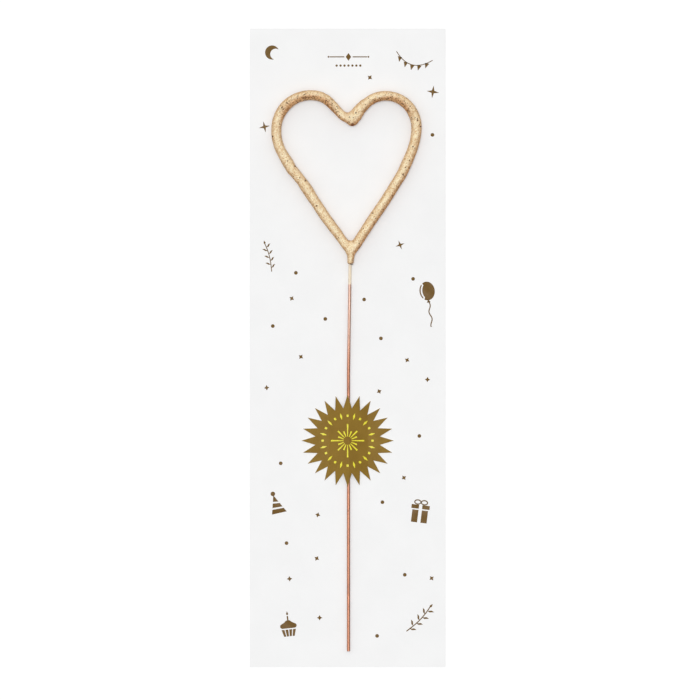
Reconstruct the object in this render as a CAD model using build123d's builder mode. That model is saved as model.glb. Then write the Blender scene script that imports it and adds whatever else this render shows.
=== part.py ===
"""Heart-shaped sparkler held on its display card by a starburst label.

The card lies face up: its back is on z = 0, +Y runs towards the heart and +Z points out of the
printed face. The origin is the middle of the card's back. All sizes are in millimetres.
"""

import os
from math import asin, atan2, ceil, cos, degrees, hypot, pi, radians, sin, sqrt, tan

from build123d import *

# Display card: one flat sheet of white board
card_width = 89.6
card_length = 292.0
card_thickness = 0.5

# Copper-plated steel wire, bent from one length: stem, heart and a short tail lapped on the stem
wire_diameter = 1.4
cut_end_chamfer = 0.15
stem_offset = 0.4
stem_lean = 1.1
stem_length = 182.4
stem_end_margin = 7.2
stem_bend_radius = 300.0
stem_bend_above_label = 10.0
tail_length = 5.6
tail_offset = 0.6
lap_gap = 0.15
chord_angle = 35.0

# Heart: each lobe is a side arc and a smaller crown arc, met by a wide shoulder arc from the leg
left_lobe_offset = 18.4
left_lobe_height = 56.1
left_lobe_radius = 15.7
left_crown_radius = 11.7
left_shoulder_radius = 22.4
left_flank_angle = 46.0
right_lobe_offset = 16.1
right_lobe_height = 58.0
right_lobe_radius = 13.5
right_crown_radius = 11.9
right_shoulder_radius = 40.6
right_flank_angle = 47.6
cleft_radius = 4.6
bend_run = 0.6

# Spark coating: dipped composition on the heart, with a thin neck down over the lapped wires
coat_diameter = 4.7
neck_length = 5.2
neck_waist_drop = 2.4
neck_waist_width = 3.1
neck_waist_depth = 3.9
neck_end_width = 2.7
neck_end_depth = 3.5

# Starburst label: paper, glued at both sides and raised over the wire as a low ridge
label_points = 24
label_tip_radius = 21.1
label_notch_radius = 14.9
label_thickness = 0.2
label_below_centre = 42.5
adhesive_thickness = 0.1
adhesive_setback = 2.2
ridge_reach = 9.0
ridge_foot_radius = 4.0

# Clearances
rest_gap = 0.15
tunnel_gap = 0.15

# Heights above the card's back
wire_radius = wire_diameter / 2
coat_radius = coat_diameter / 2
heart_z = card_thickness + rest_gap + coat_radius
stem_z = card_thickness + rest_gap + wire_radius

# Where the two legs of the heart meet, and the two wires that lie on each other there
junction_x = stem_offset + stem_lean
stem_end_y = stem_end_margin - card_length / 2
junction_y = stem_end_y + stem_length
lap = wire_diameter + lap_gap
lap_rise = sqrt(lap**2 - tail_offset**2)
stem_top = Vector(junction_x - tail_offset / 2, junction_y, heart_z - lap_rise / 2)
tail_top = Vector(junction_x + tail_offset / 2, junction_y, heart_z + lap_rise / 2)

# The stem lies level under the label, then rises in one slow bend to the junction
label_y = -label_below_centre
stem_end = Vector(stem_offset, stem_end_y, stem_z)
stem_bend = Vector(stem_offset, label_y + label_tip_radius + stem_bend_above_label, stem_z)
stem_direction = (stem_bend - stem_top).normalized()
tail_end = tail_top + stem_direction * tail_length


def lobe_corners(side, foot, offset, height, lobe_radius, crown_radius, shoulder_radius, flank_angle):
    """Corners of one half of the heart, from the leg to the crown: the bends round them off.

    The leg is the tangent from its foot to the shoulder arc; side is -1 on the left, 1 on the right.
    """
    centre = Vector(junction_x + side * offset, junction_y + height)
    edge = centre.X + side * lobe_radius
    top = centre.Y + lobe_radius
    shoulder = Vector(edge - side * shoulder_radius, centre.Y - bend_run)
    across = side * (shoulder.X - foot.X)
    along = shoulder.Y - foot.Y
    slope = atan2(along, across) - asin(shoulder_radius / hypot(along, across))
    leg_rise = side * (edge - foot.X) * tan(slope)
    crown_reach = crown_radius * tan(radians(flank_angle) / 2) + bend_run
    return [
        Vector(edge, foot.Y + leg_rise, heart_z),
        Vector(edge, top, heart_z),
        Vector(centre.X - side * crown_reach, top, heart_z),
    ]


def cleft_corner(left_crown, right_crown):
    """Where the two straight flanks between the lobes would meet if the cleft were sharp."""
    left_fall = tan(radians(left_flank_angle))
    right_fall = tan(radians(right_flank_angle))
    gap = right_crown.X - left_crown.X
    step = right_crown.Y - left_crown.Y
    run = (gap * right_fall - step) / (left_fall + right_fall)
    return Vector(left_crown.X + run, left_crown.Y - run * left_fall, heart_z)


def heart_corners(foot):
    """Corner points of the heart, left and right halves from the foot up, and the cleft between."""
    left = lobe_corners(
        -1,
        foot,
        left_lobe_offset,
        left_lobe_height,
        left_lobe_radius,
        left_crown_radius,
        left_shoulder_radius,
        left_flank_angle,
    )
    right = lobe_corners(
        1,
        foot,
        right_lobe_offset,
        right_lobe_height,
        right_lobe_radius,
        right_crown_radius,
        right_shoulder_radius,
        right_flank_angle,
    )
    return left, cleft_corner(left[-1], right[-1]), right


left_bends = [left_shoulder_radius, left_lobe_radius, left_crown_radius]
right_bends = [right_shoulder_radius, right_lobe_radius, right_crown_radius]


def star_points():
    """Corners of the label's outline about its own centre, tip and notch in turn, one tip straight up."""
    corners = []
    for step in range(2 * label_points):
        radius = label_notch_radius if step % 2 else label_tip_radius
        turn = pi * step / label_points
        corners.append((radius * sin(turn), radius * cos(turn)))
    return corners


# Display card
with BuildPart() as display_card:
    with BuildSketch():
        Rectangle(card_width, card_length)
    extrude(amount=card_thickness)

# Heart's centre line, in two runs from the middle of the right flank down to the junction
junction = Vector(junction_x, junction_y, heart_z)
left_corners, cleft, right_corners = heart_corners(junction)
flank_middle = (cleft + right_corners[-1]) * 0.5
flank_direction = (right_corners[-1] - cleft).normalized()
with BuildLine() as left_run:
    FilletPolyline(
        flank_middle,
        cleft,
        *reversed(left_corners),
        junction,
        radius=[cleft_radius, *reversed(left_bends)],
    )
with BuildLine() as right_run:
    FilletPolyline(
        flank_middle,
        *reversed(right_corners),
        junction,
        radius=list(reversed(right_bends)),
    )


def chord_corners(run):
    """Points on the bends of one run of the heart, at even steps no wider than chord_angle."""
    corners = []
    for edge in run.wire().order_edges():
        if edge.geom_type == GeomType.CIRCLE:
            steps = ceil(edge.length / edge.radius / radians(chord_angle))
            corners += [edge @ ((step + 0.5) / steps) for step in range(steps)]
    return corners


# Core wire: one run from the stem's cut end round the heart to the tail's cut end. Sealed in the
# coating, its bends are short chords.
with BuildPart() as core_wire:
    with BuildLine() as wire_run:
        FilletPolyline(stem_end, stem_bend, stem_top, radius=stem_bend_radius)
        Polyline(
            stem_top,
            *reversed(chord_corners(left_run)),
            *chord_corners(right_run),
            tail_top,
            tail_end,
        )
    with BuildSketch(Plane(origin=stem_end, z_dir=(0, 1, 0))):
        Circle(wire_radius)
    sweep(path=wire_run.line, transition=Transition.RIGHT)
    chamfer(core_wire.edges().sort_by(Axis.Y)[0], length=cut_end_chamfer)

# Spark coating: the two halves of the heart meet in the right flank and at the junction
neck_plane = Plane(origin=junction, x_dir=(1, 0, 0), z_dir=stem_direction)
with BuildPart() as spark_coating:
    with BuildSketch(Plane(origin=flank_middle, z_dir=-flank_direction)):
        Circle(coat_radius)
    sweep(path=left_run.line)
    with BuildSketch(Plane(origin=flank_middle, z_dir=flank_direction)):
        Circle(coat_radius)
    sweep(path=right_run.line)
    with BuildSketch(neck_plane):
        Circle(coat_radius)
    with BuildSketch(neck_plane.offset(neck_waist_drop)):
        Ellipse(neck_waist_width / 2, neck_waist_depth / 2)
    with BuildSketch(neck_plane.offset(neck_length)):
        Ellipse(neck_end_width / 2, neck_end_depth / 2)
    loft()
    add(core_wire.part, mode=Mode.SUBTRACT)

# Label adhesive: two films, one on each flat side of the label
label_base = card_thickness + adhesive_thickness
with BuildPart() as label_adhesive:
    with BuildSketch(Plane(origin=(0, label_y, card_thickness))):
        with BuildLine():
            Polyline(*star_points(), close=True)
        make_face()
        with Locations((stem_offset, 0)):
            Rectangle(2 * (ridge_reach + adhesive_setback), 2 * label_tip_radius, mode=Mode.SUBTRACT)
    extrude(amount=adhesive_thickness)

# Starburst label: the ridge's slopes are tangent to the tunnel that the wire lies in
tunnel_radius = wire_radius + tunnel_gap
tunnel_rise = stem_z - label_base
ridge_slope = atan2(tunnel_rise, ridge_reach) + asin(tunnel_radius / hypot(ridge_reach, tunnel_rise))
ridge_apex = label_base + ridge_reach * tan(ridge_slope)
with BuildPart() as starburst_label:
    with BuildSketch(Plane(origin=(0, label_y, 0), x_dir=(1, 0, 0), z_dir=(0, -1, 0))):
        with BuildLine():
            FilletPolyline(
                (-label_tip_radius, label_base),
                (stem_offset - ridge_reach, label_base),
                (stem_offset, ridge_apex),
                (stem_offset + ridge_reach, label_base),
                (label_tip_radius, label_base),
                radius=[ridge_foot_radius, tunnel_radius, ridge_foot_radius],
            )
            offset(amount=label_thickness, side=Side.LEFT)
        make_face()
    extrude(amount=label_tip_radius, both=True)
    with BuildSketch(Plane(origin=(0, label_y, 0))):
        with BuildLine():
            Polyline(*star_points(), close=True)
        make_face()
    extrude(amount=ridge_apex + label_thickness, mode=Mode.INTERSECT)

os.makedirs("parts", exist_ok=True)
pieces = {
    "display_card": display_card,
    "label_adhesive": label_adhesive,
    "starburst_label": starburst_label,
    "core_wire": core_wire,
    "spark_coating": spark_coating,
}
for name, piece in pieces.items():
    piece.part.label = name
    export_step(piece.part, f"parts/{name}.step")
    print(name, "solids", len(piece.solids()), "volume", round(piece.part.volume, 1))
wire_length = sum(edge.length for edge in wire_run.edges())
print("wire length", round(wire_length, 1), "ridge slope", round(degrees(ridge_slope), 1))
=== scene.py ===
"""Looks of a heart sparkler on its display card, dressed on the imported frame. Metres, the frame's axes."""

import random
from math import cos, exp, hypot, pi, radians, sin

import bmesh
import bpy
from mathutils import Matrix, Vector, noise
from mathutils.bvhtree import BVHTree


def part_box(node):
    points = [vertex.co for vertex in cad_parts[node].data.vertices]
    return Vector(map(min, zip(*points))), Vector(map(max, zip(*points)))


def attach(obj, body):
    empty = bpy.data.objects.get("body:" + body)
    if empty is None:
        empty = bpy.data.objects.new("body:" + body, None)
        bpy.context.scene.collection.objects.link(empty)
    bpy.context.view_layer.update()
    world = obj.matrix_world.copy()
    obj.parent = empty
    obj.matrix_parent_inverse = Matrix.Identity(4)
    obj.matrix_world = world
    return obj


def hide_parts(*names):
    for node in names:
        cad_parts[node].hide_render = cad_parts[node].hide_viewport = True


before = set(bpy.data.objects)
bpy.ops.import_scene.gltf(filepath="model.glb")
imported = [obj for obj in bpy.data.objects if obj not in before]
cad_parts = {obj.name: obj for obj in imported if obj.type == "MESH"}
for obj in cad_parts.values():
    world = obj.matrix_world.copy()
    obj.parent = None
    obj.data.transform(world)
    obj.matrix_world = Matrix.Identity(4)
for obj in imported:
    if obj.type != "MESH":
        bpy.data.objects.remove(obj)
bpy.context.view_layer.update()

# Display card: a flat sheet of white coated board, cut square. Its face is smooth and very faintly
# clouded, its back is bare pulp, and the cut edges show the greyer core.
mm = 0.001
card_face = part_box("display_card")[1].z


def linear(red, green, blue):
    """A colour as it shows on a screen, 0 to 255, in the renderer's linear values."""
    channels = [channel / 255 for channel in (red, green, blue)]
    return tuple(c / 12.92 if c <= 0.04045 else ((c + 0.055) / 1.055) ** 2.4 for c in channels) + (1.0,)


def feed(tree, node, inputs):
    """Gives a node its inputs: outputs of other nodes are linked, constants go on the socket itself."""
    for name, value in inputs.items():
        if isinstance(value, bpy.types.NodeSocket):
            tree.links.new(value, node.inputs[name])
        else:
            node.inputs[name].default_value = value


def place(tree, kind, inputs=None, **settings):
    """One shader node: settings are its properties, inputs its values or the outputs linked to it."""
    made = tree.nodes.new(kind)
    for name, value in settings.items():
        setattr(made, name, value)
    feed(tree, made, inputs or {})
    return made


def blend(tree, factor, first, second):
    """The colour that goes from first to second as the factor goes from 0 to 1."""
    return place(tree, "ShaderNodeMix", {0: factor, 6: first, 7: second}, data_type="RGBA").outputs[2]


def ramp(tree, value, low, high, start=0.0, stop=1.0):
    """A value mapped smoothly from the range low to high onto start to stop."""
    inputs = {"Value": value, "From Min": low, "From Max": high, "To Min": start, "To Max": stop}
    return place(tree, "ShaderNodeMapRange", inputs, interpolation_type="SMOOTHSTEP").outputs["Result"]


def mottle(tree, where, scale, detail, **more):
    """Chance light and dark over a surface: scale is repeats in a metre, more are further inputs."""
    inputs = {"Vector": where, "Scale": scale, "Detail": detail, **more}
    return place(tree, "ShaderNodeTexNoise", inputs).outputs["Fac"]


def relief(tree, height, strength, depth):
    """The normal of a surface that rises and falls with the height."""
    inputs = {"Height": height, "Strength": strength, "Distance": depth}
    return place(tree, "ShaderNodeBump", inputs).outputs["Normal"]


def finish_of(name):
    """A new material, its node tree and its surface shader."""
    material = bpy.data.materials.new(name)
    material.use_nodes = True
    return material, material.node_tree, material.node_tree.nodes["Principled BSDF"]


def dress(piece, material):
    """Gives the whole piece one material."""
    piece.data.materials.clear()
    piece.data.materials.append(material)


def paper_pulp_group():
    """Slow clouds and fine fibres of a sheet of pulp. The scales are repeats in a metre."""
    tree = bpy.data.node_groups.new("paper_pulp", "ShaderNodeTree")
    for name, value in (("Cloud Scale", 60.0), ("Fibre Scale", 1500.0)):
        socket = tree.interface.new_socket(name, in_out="INPUT", socket_type="NodeSocketFloat")
        socket.default_value = value
    for name in ("Cloud", "Fibre"):
        tree.interface.new_socket(name, in_out="OUTPUT", socket_type="NodeSocketFloat")
    given = place(tree, "NodeGroupInput").outputs
    where = place(tree, "ShaderNodeTexCoord").outputs["Object"]
    cloud = mottle(tree, where, given["Cloud Scale"], 3.0)
    laid = place(tree, "ShaderNodeMapping", {"Vector": where, "Scale": (1.0, 0.35, 1.0)})
    fibre = mottle(tree, laid.outputs["Vector"], given["Fibre Scale"], 5.0, Distortion=1.2)
    place(tree, "NodeGroupOutput", {"Cloud": cloud, "Fibre": fibre})
    return tree


paper_pulp = paper_pulp_group()


def facing_up(tree):
    """How far the surface faces out of the card: 1 on a face, 0 on a cut edge, -1 on a back."""
    normal = place(tree, "ShaderNodeTexCoord").outputs["Normal"]
    return place(tree, "ShaderNodeSeparateXYZ", {"Vector": normal}).outputs["Z"]


def board_finish():
    """White coated board: clouded face, greyer cut edge and a bare, fibrous back."""
    material, tree, shader = finish_of("white_board")
    pulp = place(tree, "ShaderNodeGroup", node_tree=paper_pulp).outputs
    up = facing_up(tree)
    clouded = ramp(tree, pulp["Cloud"], 0.3, 0.7)
    face = blend(tree, clouded, linear(243, 243, 243), linear(245, 245, 245))
    edge = blend(tree, pulp["Fibre"], linear(214, 211, 205), linear(238, 236, 231))
    back = blend(tree, pulp["Fibre"], linear(222, 219, 213), linear(240, 238, 233))
    rim = blend(tree, ramp(tree, up, -0.8, -0.2), back, edge)
    looks = {
        "Base Color": blend(tree, ramp(tree, up, 0.2, 0.8), rim, face),
        "Roughness": ramp(tree, pulp["Fibre"], 0.2, 0.8, 0.5, 0.66),
        "Normal": relief(tree, pulp["Fibre"], 0.25, 0.02 * mm),
        "Specular IOR Level": 0.25,
    }
    feed(tree, shader, looks)
    return material


dress(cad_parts["display_card"], board_finish())

# Print on the card: small celebration motifs and scattered dots, stamped in bronze-gold foil that
# stands a few hundredths of a millimetre proud of the board. The motifs are drawn in millimetres.
foil_height = 0.02 * mm


def arc(centre, across, up, start, stop, steps):
    """Points along part of an ellipse, the angles in degrees from the right, anticlockwise."""
    turns = [radians(start + (stop - start) * step / steps) for step in range(steps + 1)]
    return [(centre[0] + across * cos(turn), centre[1] + up * sin(turn)) for turn in turns]


def stroke(points, width, closed=False):
    """The outline of a line of even width drawn through the points."""
    left, right = [], []
    count = len(points)
    for index, (x, y) in enumerate(points):
        before = points[index - 1] if closed or index else points[index]
        after = points[(index + 1) % count] if closed or index + 1 < count else points[index]
        along = Vector((after[0] - before[0], after[1] - before[1])).normalized()
        left.append((x - along.y * width / 2, y + along.x * width / 2))
        right.append((x + along.y * width / 2, y - along.x * width / 2))
    if closed:
        left.append(left[0])
        right.append(right[0])
    return left + right[::-1]


def disc(centre, radius):
    """A round dot."""
    return arc(centre, radius, radius, 0, 342, 18)


def lozenge(centre, across, up):
    """A diamond standing on its point."""
    x, y = centre
    return [(x + across, y), (x, y + up), (x - across, y), (x, y - up)]


def twinkle(radius, waist=0.28):
    """A spark with four long points and a narrow waist between them."""
    outline = []
    for step in range(8):
        reach = radius * (waist if step % 2 else 1)
        turn = pi * step / 4
        outline.append((reach * sin(turn), reach * cos(turn)))
    return [outline]


def balloon():
    """A party balloon with its knot and a wavy string."""
    body = arc((0, 6), 3.5, 4.3, -120, 120, 30) + arc((-0.2, 6), 2.0, 3.3, 125, 235, 16)
    rim = arc((0, 6), 3.5, 4.3, 130, 230, 16) + arc((-0.2, 6), 2.7, 3.7, 226, 134, 16)
    knot = [(0, 2.1), (0.9, 0.7), (-0.9, 0.7)]
    string = [(0.5 * sin(step * 0.55), 1.0 - step * 0.55) for step in range(22)]
    return [body, rim, knot, stroke(string, 0.5)]


def gift():
    """A wrapped box with a band round it and a bow on its lid."""
    halves = []
    for side in (-1, 1):
        halves.append([(side * 4.4, 2.4), (side * 0.8, 2.4), (side * 0.8, 4.3), (side * 4.4, 4.3)])
        halves.append([(side * 3.8, -4.2), (side * 0.8, -4.2), (side * 0.8, 1.8), (side * 3.8, 1.8)])
    loops = [arc((side * 1.6, 5.6), 1.5, 1.0, 0, 360, 24)[:-1] for side in (-1, 1)]
    bow = [stroke(loop, 0.55, closed=True) for loop in loops]
    return [*halves, *bow]


def party_hat():
    """A paper cone with slanting stripes and a pompom."""
    bands = []
    for low, high in ((-4.0, -1.9), (-1.1, 0.9), (1.7, 4.6)):
        corners = ((-1, low), (1, low), (1, high), (-1, high))
        edge = [(side, level - 0.35 * side) for side, level in corners]
        bands.append([(side * 0.4 * (5 - level), level) for side, level in edge])
    return [*bands, disc((0, 5.7), 1.1)]


def crescent():
    """A thin moon."""
    return [arc((0, 0), 3.6, 3.6, 50, 310, 30) + arc((2.0, 0), 2.78, 2.78, 276, 84, 30)]


def sprig():
    """A bent stem with pairs of small leaves."""
    stem = [(1.2 * sin(step * 0.16), -8 + step) for step in range(17)]
    leaves = []
    for step in range(2, 16, 2):
        side = 1 if step % 4 else -1
        root = Vector(stem[step])
        tip = root + Vector((side * 2.8, 1.7))
        middle = (root + tip) / 2
        swell = Vector((side * 0.2, 1.3)) * 0.55
        leaves.append([tuple(root), tuple(middle - swell), tuple(tip), tuple(middle + swell)])
    bud = lozenge((stem[-1][0], stem[-1][1] + 0.9), 0.6, 1.3)
    return [stroke(stem, 0.5), *leaves, bud]


def cupcake():
    """A small iced cake in a pleated case, with one candle."""
    pleats = []
    for row in (-1.5, -0.5, 0.5, 1.5):
        foot, rim = row * 1.35, row * 1.85
        pleats.append([(foot - 0.5, -4.2), (foot + 0.5, -4.2), (rim + 0.7, -0.9), (rim - 0.7, -0.9)])
    icing = arc((-2.6, 0.8), 1.4, 1.2, 250, 110, 10)
    icing += arc((0, 1.7), 2.0, 1.9, 150, 30, 14)
    icing += arc((2.6, 0.8), 1.4, 1.2, 70, -70, 10)
    candle = [(-0.35, 3.6), (0.35, 3.6), (0.35, 5.6), (-0.35, 5.6)]
    flame = [(0, 5.9), (0.55, 6.6), (0, 7.9), (-0.55, 6.6)]
    return [*pleats, icing, candle, flame]


def bunting():
    """A sagging string of little flags."""
    sag = 0.05
    line = [(x * 1.25, sag * (x * 1.25) ** 2 - 2.0) for x in range(-8, 9)]
    flags = []
    for x in (-7.5, -3.75, 0.0, 3.75, 7.5):
        top = sag * x**2 - 2.1
        tilt = 0.1 * x
        rise = 0.12 * tilt
        flags.append([(x - 1.2, top - rise), (x + 1.2, top + rise), (x - tilt * 0.3, top - 2.9)])
    return [stroke(line, 0.45), *flags]


def flourish():
    """A short rule with a diamond in its middle, over a row of dots."""
    rules = [stroke([(side * 2.0, 0), (side * 9.0, 0)], 0.5) for side in (-1, 1)]
    ends = [lozenge((side * 9.6, 0), 0.55, 0.55) for side in (-1, 1)]
    dots = [disc((step * 1.9, -4.2), 0.55) for step in range(-3, 4)]
    return [*rules, *ends, lozenge((0, 0), 1.3, 1.9), *dots]


# Each motif with its place on the card, its turn in degrees and its size
card_motifs = [
    (flourish(), (0.4, 133.0), 0, 0.95),
    (crescent(), (-34.5, 135.0), -25, 0.9),
    (bunting(), (30.0, 131.0), -14, 0.85),
    (twinkle(2.6), (-38.0, 101.0), 12, 1.0),
    (balloon(), (37.2, 20.0), 8, 1.0),
    (twinkle(2.9), (39.0, 117.0), -8, 1.0),
    (sprig(), (-36.5, 41.0), 16, 0.8),
    (party_hat(), (-32.5, -72.0), 18, 0.95),
    (twinkle(2.2), (24.0, 47.0), 20, 1.0),
    (gift(), (33.0, -76.0), -7, 0.95),
    (cupcake(), (-27.0, -128.0), 6, 0.95),
    (sprig(), (32.0, -124.0), -42, 0.95),
]
print_mesh = bmesh.new()


def stamp(outlines, spot, turn, size):
    """Adds one motif to the print: each outline is a flat-topped flake standing on the board."""
    lay = Matrix.Rotation(radians(turn), 2) * size
    for outline in outlines:
        flat = [Vector(spot) + lay @ Vector(point) for point in outline]
        top = [print_mesh.verts.new((p.x * mm, p.y * mm, card_face + foil_height)) for p in flat]
        foot = [print_mesh.verts.new((p.x * mm, p.y * mm, card_face)) for p in flat]
        print_mesh.faces.new(top)
        for index in range(len(flat)):
            print_mesh.faces.new((top[index - 1], top[index], foot[index], foot[index - 1]))


for motif in card_motifs:
    stamp(*motif)

# The dots: how many, how far out on the card, and the room that they leave to what is near, in
# millimetres. Inside the heart they lie within heart_inside of its middle.
dot_count = 26
dot_field = (40, 138)
dot_room = 11
motif_room = 13
label_room = 5
wire_room = 5
heart_room = 4
heart_reach = 38
heart_inside = 15
heart_axis = 1.0
heart_middle_share = 0.62
coat_low, coat_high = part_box("spark_coating")
label_low, label_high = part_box("starburst_label")
label_centre = (label_low + label_high) / 2
label_reach = (label_high.x - label_low.x) / 2
heart_foot, heart_top = coat_low.y / mm, coat_high.y / mm
heart_middle = (coat_low.y + heart_middle_share * (coat_high.y - coat_low.y)) / mm
dot_chance = random.Random(7)
dot_spots = []


def dot_fits(x, y):
    """A dot keeps clear of the wire, the label, the motifs, the other dots and the heart's rods."""
    from_label = hypot(x - label_centre.x / mm, y - label_centre.y / mm)
    clear = abs(x) > wire_room and from_label > label_reach / mm + label_room
    clear = clear and all(hypot(x - spot[0], y - spot[1]) > motif_room for _, spot, _, _ in card_motifs)
    clear = clear and all(hypot(x - spot[0], y - spot[1]) > dot_room for spot in dot_spots)
    near_heart = heart_foot - heart_room < y < heart_top + heart_room and abs(x) < heart_reach
    inside = hypot(x - heart_axis, y - heart_middle) < heart_inside
    return clear and (inside or not near_heart)


while len(dot_spots) < dot_count:
    spot = tuple(dot_chance.uniform(-reach, reach) for reach in dot_field)
    if dot_fits(*spot):
        dot_spots.append(spot)
        shape = twinkle(1.25, waist=0.5) if len(dot_spots) % 2 else [disc((0, 0), 0.85)]
        stamp(shape, spot, dot_chance.uniform(0, 90), 1.0)

bmesh.ops.recalc_face_normals(print_mesh, faces=print_mesh.faces)


def piece_from(name, mesh):
    """A new piece in the scene, of the finished mesh."""
    piece = bpy.data.objects.new(name, bpy.data.meshes.new(name))
    mesh.to_mesh(piece.data)
    mesh.free()
    bpy.context.scene.collection.objects.link(piece)
    return piece


card_print = piece_from("card_print", print_mesh)


def foil_wear_group():
    """Uneven hold of a stamped or printed metal film: slow shading and small broken specks."""
    tree = bpy.data.node_groups.new("foil_wear", "ShaderNodeTree")
    for name in ("Shade", "Speck"):
        tree.interface.new_socket(name, in_out="OUTPUT", socket_type="NodeSocketFloat")
    where = place(tree, "ShaderNodeTexCoord").outputs["Object"]
    shade = mottle(tree, where, 260.0, 4.0)
    speck = ramp(tree, mottle(tree, where, 3200.0, 2.0), 0.62, 0.75)
    place(tree, "NodeGroupOutput", {"Shade": shade, "Speck": speck})
    return tree


foil_wear = foil_wear_group()


def bronze_foil_finish():
    """Bronze-gold stamping foil, a little patchy, with pin-holes that let the board through."""
    material, tree, shader = finish_of("bronze_foil")
    wear = place(tree, "ShaderNodeGroup", node_tree=foil_wear).outputs
    gold = blend(tree, wear["Shade"], linear(88, 60, 4), linear(108, 78, 14))
    looks = {
        "Base Color": blend(tree, wear["Speck"], gold, linear(128, 100, 44)),
        "Roughness": ramp(tree, wear["Shade"], 0.3, 0.7, 0.38, 0.52),
        "Metallic": 0.12,
        "Specular IOR Level": 0.2,
    }
    feed(tree, shader, looks)
    return material


dress(card_print, bronze_foil_finish())
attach(card_print, "card")

# Core wire: drawn steel wire with a thin copper plating, cut square at both ends. Under the neck
# of the coating a dip of pale paint still covers it, and a thinner film of paint runs on below.
neck_end = coat_low.y
paint_end = neck_end - 9.4 * mm
paint_fade = 1.6 * mm
film_end = paint_end - 40 * mm
film_fade = 24 * mm
tail_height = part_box("core_wire")[1].z - 1.45 * mm
tail_blur = 0.05 * mm
tail_cut_low = neck_end + 0.05 * mm
tail_cut_high = neck_end + 0.2 * mm


def reckon(tree, operation, *values):
    """What one Math node makes of the values."""
    return place(tree, "ShaderNodeMath", dict(enumerate(values)), operation=operation).outputs[0]


def surface_of(tree):
    """Where a point of the surface lies, as a vector and by its axes, and which way it faces."""
    coordinates = place(tree, "ShaderNodeTexCoord").outputs
    where = coordinates["Object"]
    at = place(tree, "ShaderNodeSeparateXYZ", {"Vector": where}).outputs
    facing = place(tree, "ShaderNodeSeparateXYZ", {"Vector": coordinates["Normal"]}).outputs
    return where, at, facing


def copper_wire_finish():
    """Copper-plated wire: draw lines along it, a painted shade down its right side, pale paint below the
    neck, dark cut ends.
    """
    material, tree, shader = finish_of("copper_wire")
    where, at, facing = surface_of(tree)
    drawn = place(tree, "ShaderNodeMapping", {"Vector": where, "Scale": (1.0, 0.02, 1.0)})
    lines = mottle(tree, drawn.outputs["Vector"], 6000.0, 3.0)
    tarnish = ramp(tree, mottle(tree, where, 180.0, 4.0), 0.5, 0.75, 0.0, 0.45)
    bright = blend(tree, lines, linear(186, 118, 88), linear(220, 160, 130))
    copper = blend(tree, tarnish, bright, linear(160, 100, 78))
    film = ramp(tree, at["Y"], film_end, film_end + film_fade, 0.0, 0.6)
    plated = blend(tree, film, copper, linear(236, 206, 190))
    # Painted shade: the copper turns darker on the side that faces +X, away from the lamps.
    shaded_right_side = blend(tree, ramp(tree, facing["X"], 0.1, 0.9, 0.0, 0.6), plated, linear(138, 98, 80))
    ragged = mottle(tree, where, 1400.0, 3.0)
    paint_edge = reckon(tree, "MULTIPLY_ADD", ragged, paint_fade, at["Y"])
    painted = ramp(tree, paint_edge, paint_end, paint_end + paint_fade)
    cream = blend(tree, ragged, linear(232, 210, 178), linear(248, 236, 216))
    body = blend(tree, painted, shaded_right_side, cream)
    stem_cut = ramp(tree, facing["Y"], -0.75, -0.95)
    low = ramp(tree, at["Y"], tail_cut_high, tail_cut_low)
    above = ramp(tree, at["Z"], tail_height - tail_blur, tail_height + tail_blur)
    cut = reckon(tree, "MAXIMUM", stem_cut, reckon(tree, "MULTIPLY", low, above))
    bare = reckon(tree, "SUBTRACT", 1.0, painted)
    looks = {
        "Base Color": blend(tree, cut, body, linear(80, 58, 44)),
        "Metallic": ramp(tree, bare, 0.0, 1.0, 0.0, 0.75),
        "Roughness": ramp(tree, lines, 0.3, 0.7, 0.42, 0.56),
        "Normal": relief(tree, lines, 0.3, 0.02 * mm),
    }
    feed(tree, shader, looks)
    return material


dress(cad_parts["core_wire"], copper_wire_finish())

# Spark coating: metal-flake composition dipped on the wire heart in several coats. It is a little
# lumpy, webbed in the fork, thick where a drip ran down beside the cleft, and pitted in places.
coat_voxel = 0.225 * mm
web_radius = 1.3 * mm
ease_rounds = 16
rim_depth = 0.3 * mm

# Lumps of the drip beside the cleft: middle and radii, written in millimetres
coat_lumps = [
    (Vector((2.1, 104.4, 2.95)) * mm, (3.2, 3.2, 2.35)),
    (Vector((3.7, 106.3, 3.0)) * mm, (3.1, 3.1, 2.4)),
    (Vector((4.9, 107.9, 3.0)) * mm, (2.95, 2.95, 2.4)),
    (Vector((6.0, 109.6, 3.0)) * mm, (2.6, 2.6, 2.35)),
    (Vector((7.4, 111.1, 3.0)) * mm, (2.45, 2.45, 2.35)),
    (Vector((0.0, 104.9, 3.0)) * mm, (2.4, 2.3, 2.4)),
    (Vector((2.0, 105.6, 3.0)) * mm, (2.6, 2.3, 2.4)),
]
drip_middle = 5.5 * mm

# Thick and thin places: where, how far they reach and how high, in millimetres
coat_swells = [
    ((-3.2, 107.4), 3.5, -0.42),
    ((-7.3, 111.2), 3.0, -0.24),
    ((-2.6, 49.3), 4.0, -0.36),
    ((-19.0, 72.5), 5.0, 0.29),
    ((-27.5, 84.5), 4.5, 0.18),
    ((-28.5, 109.5), 6.0, 0.17),
    ((30.5, 105.5), 5.0, 0.2),
    ((27.5, 84.0), 4.0, 0.18),
    ((17.5, 116.0), 6.0, -0.1),
    ((-27.6, 80.0), 2.0, 0.5),
    ((-29.5, 82.8), 1.9, 0.3),
    ((-23.2, 74.4), 1.5, -0.2),
    ((-23.7, 83.6), 2.0, -0.2),
    ((14.0, 62.0), 9.0, 0.05),
    ((22.0, 74.0), 8.0, 0.05),
    ((5.5, 108.5), 4.0, -0.1),
    ((-1.4, 44.3), 1.7, -0.35),
    ((3.9, 43.3), 1.4, -0.25),
    ((0.0, 39.3), 1.4, 0.25),
    ((2.7, 39.3), 1.3, 0.05),
]

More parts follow.
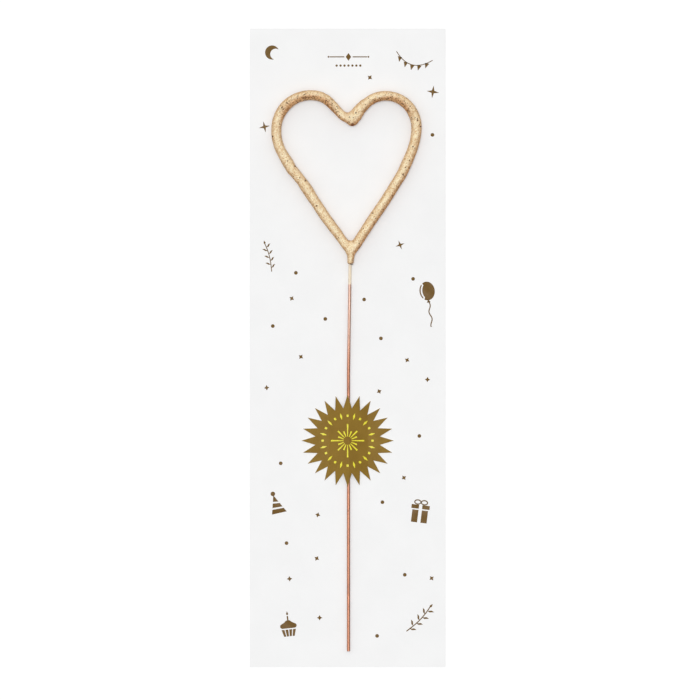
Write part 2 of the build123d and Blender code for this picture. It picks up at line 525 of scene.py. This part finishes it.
# Hand bends of the heart: where, and how far the rod is pushed there, in millimetres
coat_bends = [
    ((-10.0, 60.0), (-0.24, -0.17)),
    ((-20.0, 74.0), (0.26, 0.17)),
    ((-29.0, 87.0), (0.28, 0.15)),
    ((31.2, 99.5), (0.4, 0.0)),
    ((27.8, 85.0), (-0.5, 0.22)),
    ((17.0, 67.0), (0.2, -0.13)),
]
bend_reach = 6.0

# Larger pits, chance pin-holes, and the skin's waves, ripples and crust: sizes in millimetres, rates
# in repeats to the millimetre. Pin-holes crowd on the undersides of the lobes, away from the drip.
coat_pits = [
    (-30.0, 109.6),
    (-34.4, 96.5),
    (-23.9, 83.0),
    (-19.5, 76.2),
    (-14.0, 64.8),
    (3.8, 107.3),
    (31.7, 103.9),
    (33.0, 101.0),
    (29.9, 91.8),
    (25.5, 79.1),
]
pit_radius = 0.5
pit_depth = 0.3
pock_pitch = 0.8
pock_radius = 0.4
pock_depth = 0.1
pock_rarity = 0.94
pock_crowding = 1.5
pock_raggedness = 0.12
lobe_foot = 101
lobe_fade = 9
coat_shrink = 0.045
wave_height, wave_rate = 0.1, 0.25
ripple_height, ripple_rate = 0.05, 0.9
crust_height, crust_rate = 0.08, 1.9

# Burnt stains: where and how far they reach, in millimetres
coat_stains = [
    ((2.3, 101.8), 1.0),
    ((2.2, 38.4), 0.5),
]

# Where painted shade and brown gather: up the lobes, leaning to the right lower down, less near the drip
brown_start, brown_full = lobe_foot * mm, 112 * mm
lean_start, lean_end = 98 * mm, 110 * mm
drip_edge, drip_clear = 7 * mm, 16 * mm

coat_mesh = bmesh.new()
coat_mesh.from_mesh(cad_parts["spark_coating"].data)
bmesh.ops.remove_doubles(coat_mesh, verts=coat_mesh.verts, dist=0.001 * mm)
coat_mesh.normal_update()
neck_rim = [
    face
    for face in coat_mesh.faces
    if face.normal.y < -0.9 and face.calc_center_median().y < neck_end + rim_depth
]
bmesh.ops.delete(coat_mesh, geom=neck_rim, context="FACES")


def skin_from(start):
    """The vertices that hang together with the given one."""
    found, open_ends = {start}, [start]
    while open_ends:
        for edge in open_ends.pop().link_edges:
            for vertex in edge.verts:
                if vertex not in found:
                    found.add(vertex)
                    open_ends.append(vertex)
    return found


outer_skin = skin_from(max(coat_mesh.verts, key=lambda vertex: vertex.co.x))
bmesh.ops.delete(coat_mesh, geom=[v for v in coat_mesh.verts if v not in outer_skin], context="VERTS")
bmesh.ops.holes_fill(coat_mesh, edges=coat_mesh.edges)
for centre, radii in coat_lumps:
    swell = Matrix.Translation(centre) @ Matrix.Diagonal((*radii, 1.0))
    bmesh.ops.create_icosphere(coat_mesh, subdivisions=4, radius=mm, matrix=swell)
coat = piece_from("gold_coat", coat_mesh)


def flow(reach):
    """Grows or shrinks the coat by the reach and joins up what then overlaps."""
    spread = coat.modifiers.new("spread", "DISPLACE")
    spread.mid_level = 0.0
    spread.strength = reach
    merge = coat.modifiers.new("merge", "REMESH")
    merge.mode = "VOXEL"
    merge.voxel_size = coat_voxel
    merge.use_smooth_shade = True


flow(0.0)
flow(web_radius)
flow(-web_radius)
ease = coat.modifiers.new("ease", "SMOOTH")
ease.factor = 0.5
ease.iterations = ease_rounds
settled = bpy.data.meshes.new_from_object(coat.evaluated_get(bpy.context.evaluated_depsgraph_get()))
coat.modifiers.clear()
coat.data = settled
pitted = settled.attributes.new("pit", "FLOAT", "POINT")
crusted = settled.attributes.new("crust", "FLOAT", "POINT")
stained = settled.attributes.new("stain", "FLOAT", "POINT")
normals = [vertex.normal.copy() for vertex in settled.vertices]


def fade(spot, centre, reach):
    """How strongly something at the centre is felt at the spot: 1 there, almost 0 at twice the reach."""
    return exp(-((hypot(spot.x - centre[0], spot.y - centre[1]) / reach) ** 2))


def clamp(value):
    """The value, held between 0 and 1."""
    return min(1, max(0, value))


def pock(spot, normal):
    """How deep in a chance pin-hole the spot is, 0 to 1: many lie on the lower sides of the lobes."""
    reach, cells = noise.voronoi(spot / pock_pitch)
    underside = clamp(0.55 - 0.9 * normal.y)
    lobe = clamp((spot.y - lobe_foot) / lobe_fade) * underside
    lobe *= clamp(abs(spot.x - drip_middle / mm) / lobe_fade)
    if noise.cell(cells[0]) > pock_rarity - pock_crowding * lobe:
        ragged = reach[0] + pock_raggedness * noise.noise(spot * 3.0)
        return max(0.0, 1 - ragged * pock_pitch / pock_radius)
    return 0.0


for vertex, normal in zip(settled.vertices, normals):
    spot = vertex.co / mm
    crust = noise.noise(spot * crust_rate)
    rise = -coat_shrink + wave_height * noise.noise(spot * wave_rate)
    rise += ripple_height * noise.noise(spot * ripple_rate)
    rise += crust_height * crust
    rise += sum(height * fade(spot, centre, reach) for centre, reach, height in coat_swells)
    for centre, (across, up) in coat_bends:
        vertex.co += Vector((across, up, 0)) * fade(spot, centre, bend_reach) * mm
    near = min(hypot(spot.x - x, spot.y - y) for x, y in coat_pits) / pit_radius
    sunk = max(0.0, 1 - near) if normal.z > -0.1 else 0.0
    pin_hole = pock(spot, normal)
    pitted.data[vertex.index].value = max(sunk, pin_hole)
    crusted.data[vertex.index].value = 0.5 + 0.5 * crust
    stained.data[vertex.index].value = max(fade(spot, centre, reach) for centre, reach in coat_stains)
    vertex.co += normal * (rise - pit_depth * sunk - pock_depth * pin_hole) * mm


def flake_grain(tree, where):
    """Flakes packed side by side: how pale the grain is, with painted shade that darkens it in the dips of
    the crust and lightens it on the rises, how each flake gleams, and its round top.
    """
    noise_inputs = {"Vector": where, "Scale": 2600.0, "Detail": 3.0, "Roughness": 0.6}
    speckle = place(tree, "ShaderNodeTexNoise", noise_inputs).outputs
    jostle = place(tree, "ShaderNodeVectorMath", {0: speckle["Color"], "Scale": 0.5 * mm}, operation="SCALE")
    packed = place(tree, "ShaderNodeVectorMath", {0: where, 1: jostle.outputs["Vector"]}, operation="ADD")
    cell_inputs = {"Vector": packed.outputs["Vector"], "Scale": 1950.0}
    flake = place(tree, "ShaderNodeTexVoronoi", cell_inputs).outputs["Color"]
    joint = place(tree, "ShaderNodeTexVoronoi", cell_inputs, feature="DISTANCE_TO_EDGE").outputs["Distance"]
    tones = place(tree, "ShaderNodeSeparateColor", {"Color": flake}).outputs
    crust = place(tree, "ShaderNodeAttribute", attribute_name="crust").outputs["Fac"]
    settled_tone = reckon(tree, "MULTIPLY_ADD", tones["Green"], 0.5, speckle["Fac"])
    # Painted shade: the grain is paler where the crust rises and darker in its dips, on top of the flakes'
    # own chance tones.
    crust_shade_and_tone = reckon(tree, "MULTIPLY_ADD", crust, 0.55, settled_tone)
    return ramp(tree, crust_shade_and_tone, 0.7, 1.2), tones["Red"], ramp(tree, joint, 0.0, 0.35)


def lower_side_shade_and_brown(tree, at, facing):
    """How much brown goes on: painted shade on the lower sides, where the surface faces down the card and to
    the right, eased at the very edge for light thrown back off the board, and a browner tone up the lobes,
    off the drip.
    """
    high = ramp(tree, at["Y"], brown_start, brown_full)
    lean = ramp(tree, at["Y"], lean_start, lean_end, 0.35, 0.06)
    aside = reckon(tree, "ABSOLUTE", reckon(tree, "SUBTRACT", at["X"], drip_middle))
    sag = ramp(tree, aside, drip_edge, drip_clear, 0.14, 0.48)
    right = reckon(tree, "MULTIPLY", facing["X"], lean)
    # Painted shade: browner where the surface faces down the card and, on the lobes, to the right.
    lee_facing = reckon(tree, "MULTIPLY_ADD", facing["Y"], -0.93, right)
    shade_and_brown_side = reckon(tree, "MULTIPLY_ADD", high, sag, lee_facing)
    shade_range = {"Value": shade_and_brown_side, "From Min": 0.08, "From Max": 0.72, "To Max": 0.72}
    gathered_shade_and_brown = place(tree, "ShaderNodeMapRange", shade_range).outputs["Result"]
    bounce_eased = ramp(tree, shade_and_brown_side, 0.9, 1.3, 1.0, 0.45)
    return reckon(tree, "MULTIPLY", gathered_shade_and_brown, bounce_eased)


def gold_coat_finish():
    """Champagne-gold flake paint: packed grains, painted shade that turns the sides amber to tan and the
    lower sides russet, dark pits and burnt stains.
    """
    material, tree, shader = finish_of("gold_coat")
    where, at, facing = surface_of(tree)
    grain, gleam, round_top = flake_grain(tree, where)
    patch = ramp(tree, mottle(tree, where, 220.0, 3.0), 0.35, 0.75, 0.0, 0.3)
    warm = blend(tree, grain, linear(222, 183, 134), linear(255, 239, 201))
    pale = blend(tree, ramp(tree, gleam, 0.6, 1.0, 0.0, 0.5), warm, linear(255, 247, 222))
    toned = blend(tree, patch, pale, linear(228, 196, 152))
    # Painted shade: the colour goes amber, then tan, as the surface turns from facing up to facing sideways.
    amber_edge_shade = blend(tree, ramp(tree, facing["Z"], 0.99, 0.8, 0.0, 0.18), toned, linear(236, 172, 104))
    tan_side_shade = blend(tree, grain, linear(132, 84, 42), linear(208, 156, 98))
    side_shaded = blend(tree, ramp(tree, facing["Z"], 0.98, 0.5, 0.0, 0.46), amber_edge_shade, tan_side_shade)
    russet_shade_and_brown = blend(tree, grain, linear(122, 66, 22), linear(212, 144, 76))
    # Painted shade on the lower sides, together with the browner tone of the lobes.
    browned_and_shaded = blend(tree, lower_side_shade_and_brown(tree, at, facing), side_shaded, russet_shade_and_brown)
    stain = place(tree, "ShaderNodeAttribute", attribute_name="stain").outputs["Fac"]
    burnt = blend(tree, ramp(tree, stain, 0.2, 0.9, 0.0, 0.85), browned_and_shaded, linear(112, 58, 28))
    pit = place(tree, "ShaderNodeAttribute", attribute_name="pit").outputs["Fac"]
    crinkle = reckon(tree, "MULTIPLY_ADD", gleam, 0.4, round_top)
    looks = {
        "Base Color": blend(tree, ramp(tree, pit, 0.1, 0.5), burnt, linear(92, 58, 36)),
        "Roughness": ramp(tree, gleam, 0.0, 1.0, 0.7, 0.46),
        "Metallic": 0.08,
        "Specular IOR Level": 0.2,
        "Normal": relief(tree, crinkle, 0.7, 0.08 * mm),
    }
    feed(tree, shader, looks)
    return material


dress(coat, gold_coat_finish())
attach(coat, "sparkler")
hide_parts("spark_coating")

# Label adhesive: two thin films of clear tacky glue, spread on the back of the label at either side
# of the wire. They hold the label's flat sides to the board.


def label_glue_finish():
    """Dried clear glue, slightly yellow, with small bubbles."""
    material, tree, shader = finish_of("label_glue")
    where = place(tree, "ShaderNodeTexCoord").outputs["Object"]
    bubble = place(tree, "ShaderNodeTexVoronoi", {"Vector": where, "Scale": 900.0}).outputs["Distance"]
    looks = {
        "Base Color": blend(tree, ramp(tree, bubble, 0.1, 0.5), linear(236, 230, 208), linear(214, 205, 176)),
        "Roughness": ramp(tree, bubble, 0.0, 0.6, 0.15, 0.35),
    }
    feed(tree, shader, looks)
    return material


dress(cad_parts["label_adhesive"], label_glue_finish())

# Starburst label: paper printed all over in bronze ink, die-cut to a star and pressed down at both
# sides of the wire. The cut edge is bare paper.


def bronze_label_finish():
    """Bronze-printed label paper: faint fibre and ink mottle, pale where it is cut."""
    material, tree, shader = finish_of("bronze_label")
    scales = {"Fibre Scale": 2400.0, "Cloud Scale": 120.0}
    pulp = place(tree, "ShaderNodeGroup", scales, node_tree=paper_pulp).outputs
    wear = place(tree, "ShaderNodeGroup", node_tree=foil_wear).outputs
    ink = blend(tree, ramp(tree, pulp["Cloud"], 0.3, 0.7), linear(128, 97, 18), linear(137, 106, 25))
    worn = blend(tree, ramp(tree, wear["Speck"], 0.0, 1.0, 0.0, 0.25), ink, linear(158, 130, 62))
    core = blend(tree, pulp["Fibre"], linear(206, 196, 172), linear(232, 224, 205))
    printed = ramp(tree, facing_up(tree), 0.3, 0.7)
    looks = {
        "Base Color": blend(tree, printed, core, worn),
        "Roughness": ramp(tree, pulp["Fibre"], 0.2, 0.8, 0.48, 0.62),
        "Metallic": 0.1,
        "Specular IOR Level": 0.25,
        "Normal": relief(tree, pulp["Fibre"], 0.2, 0.02 * mm),
    }
    feed(tree, shader, looks)
    return material


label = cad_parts["starburst_label"]
dress(label, bronze_label_finish())

# Print on the label: a burst of spark strokes in a ring of small diamonds and dots, one to each
# point of the star, in bright yellow ink that follows the ridge over the wire. The strokes are drawn
# in millimetres.
ink_height = 0.012 * mm
ink_step = 0.2
ink_lanes = (-1, -0.5, 0, 0.5, 1)
ray_count = 16
ray_root = 1.9
ray_reaches = (7.6, 4.6, 6.2, 4.6)
ray_widths = (0.3, 0.72)
ring_count = 24
ring_radius = 11.4
ring_width = 1.0
diamond_reach, diamond_tip = 1.5, 0.1
dot_reach, dot_end = 0.55, 0.8
above_label = 50 * mm
label_top = BVHTree.FromObject(label, bpy.context.evaluated_depsgraph_get())
label_print_mesh = bmesh.new()


def ink_stroke(start, stop, first_width, last_width):
    """One tapering stroke between two points about the label's centre, laid on the paper."""
    along = Vector(stop) - Vector(start)
    steps = max(2, round(along.length / ink_step))
    across = Vector((-along.y, along.x)).normalized()
    rows = []
    for step in range(steps + 1):
        share = step / steps
        middle = Vector(start) + along * share
        half = (first_width + (last_width - first_width) * share) / 2
        row = []
        for lane in ink_lanes:
            point = middle + across * half * lane
            above = Vector((label_centre.x + point.x * mm, label_centre.y + point.y * mm, above_label))
            hit = label_top.ray_cast(above, Vector((0, 0, -1)))[0]
            row.append(label_print_mesh.verts.new(hit + Vector((0, 0, ink_height))))
        rows.append(row)
    for lower, upper in zip(rows, rows[1:]):
        for lane in range(len(ink_lanes) - 1):
            label_print_mesh.faces.new((lower[lane], lower[lane + 1], upper[lane + 1], upper[lane]))


for ray in range(ray_count):
    turn = 2 * pi * ray / ray_count
    outward = Vector((sin(turn), cos(turn)))
    ink_stroke(outward * ray_root, outward * ray_reaches[ray % len(ray_reaches)], *ray_widths)
for step in range(ring_count):
    turn = 2 * pi * step / ring_count
    outward = Vector((sin(turn), cos(turn)))
    spot = outward * ring_radius
    reach, end_width = (diamond_reach, diamond_tip) if step % 2 else (dot_reach, dot_end)
    ink_stroke(spot - outward * reach, spot, end_width, ring_width)
    ink_stroke(spot, spot + outward * reach, ring_width, end_width)
label_print_mesh.normal_update()
label_print = piece_from("label_print", label_print_mesh)


def yellow_ink_finish():
    """Opaque yellow ink with a slightly uneven film."""
    material, tree, shader = finish_of("yellow_ink")
    wear = place(tree, "ShaderNodeGroup", node_tree=foil_wear).outputs
    ink = blend(tree, wear["Shade"], linear(222, 208, 12), linear(244, 236, 34))
    looks = {
        "Base Color": blend(tree, wear["Speck"], ink, linear(200, 178, 30)),
        "Roughness": ramp(tree, wear["Shade"], 0.3, 0.7, 0.4, 0.55),
    }
    feed(tree, shader, looks)
    return material


dress(label_print, yellow_ink_finish())
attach(label_print, "card")

# Stage: a white sweep under the card, a small lamp beside the camera, a very broad soft box above
# and beyond the heart, and an even white surround. The camera looks straight down on the card.
photo_width = 0.3201
photo_centre = Vector((1.10, -1.05, 0.5)) * mm
lens = 500.0
sensor = 36.0
floor_reach = 6
floor_drop = 0.05 * mm
floor_glow = 0.46
surround_strength = 0.055
white = (1.0, 1.0, 1.0, 1.0)

floor = bpy.data.objects.new("floor", bpy.data.meshes.new("floor"))
floor_corners = [(x * floor_reach, y * floor_reach, 0) for x, y in ((-1, -1), (1, -1), (1, 1), (-1, 1))]
floor.data.from_pydata(floor_corners, [], [(0, 1, 2, 3)])
floor.location.z = -floor_drop
bpy.context.scene.collection.objects.link(floor)
floor_finish, floor_tree, floor_shader = finish_of("white_sweep")
seen = place(floor_tree, "ShaderNodeLightPath").outputs
shown = seen["Is Camera Ray"]
for ray in ("Is Glossy Ray", "Is Transmission Ray"):
    shown = reckon(floor_tree, "MAXIMUM", shown, seen[ray])
floor_looks = {
    "Base Color": (0.6, 0.6, 0.6, 1.0),
    "Roughness": 0.9,
    "Specular IOR Level": 0.0,
    "Emission Color": white,
    "Emission Strength": reckon(floor_tree, "MULTIPLY", shown, floor_glow),
}
feed(floor_tree, floor_shader, floor_looks)
dress(floor, floor_finish)

surround = bpy.data.worlds.new("surround")
surround.use_nodes = True
bpy.context.scene.world = surround
sky = surround.node_tree.nodes["Background"]
feed(surround.node_tree, sky, {"Color": white, "Strength": surround_strength})


def hang_lamp(name, energy, tint, spread, heading):
    """A lamp far off, seen from the object as a bright disc of the given spread in degrees."""
    lamp = bpy.data.lights.new(name, "SUN")
    lamp.energy = energy
    lamp.color = tint
    lamp.angle = radians(spread)
    stand = bpy.data.objects.new(name, lamp)
    stand.rotation_euler = Vector(heading).to_track_quat("-Z", "Y").to_euler()
    bpy.context.scene.collection.objects.link(stand)


hang_lamp("top_lamp", energy=1.345, tint=(0.95, 1.0, 1.07), spread=18, heading=(0.06, -0.05, -1.0))
hang_lamp("soft_box", energy=1.735, tint=(1.04, 1.0, 0.94), spread=150, heading=(0.07, -0.38, -0.92))

camera = bpy.data.objects.new("camera", bpy.data.cameras.new("camera"))
camera.data.lens = lens
camera.data.sensor_width = sensor
camera.location = photo_centre + Vector((0, 0, photo_width * lens / sensor))
bpy.context.scene.collection.objects.link(camera)
bpy.context.scene.camera = camera
bpy.context.scene.view_settings.view_transform = "Standard"
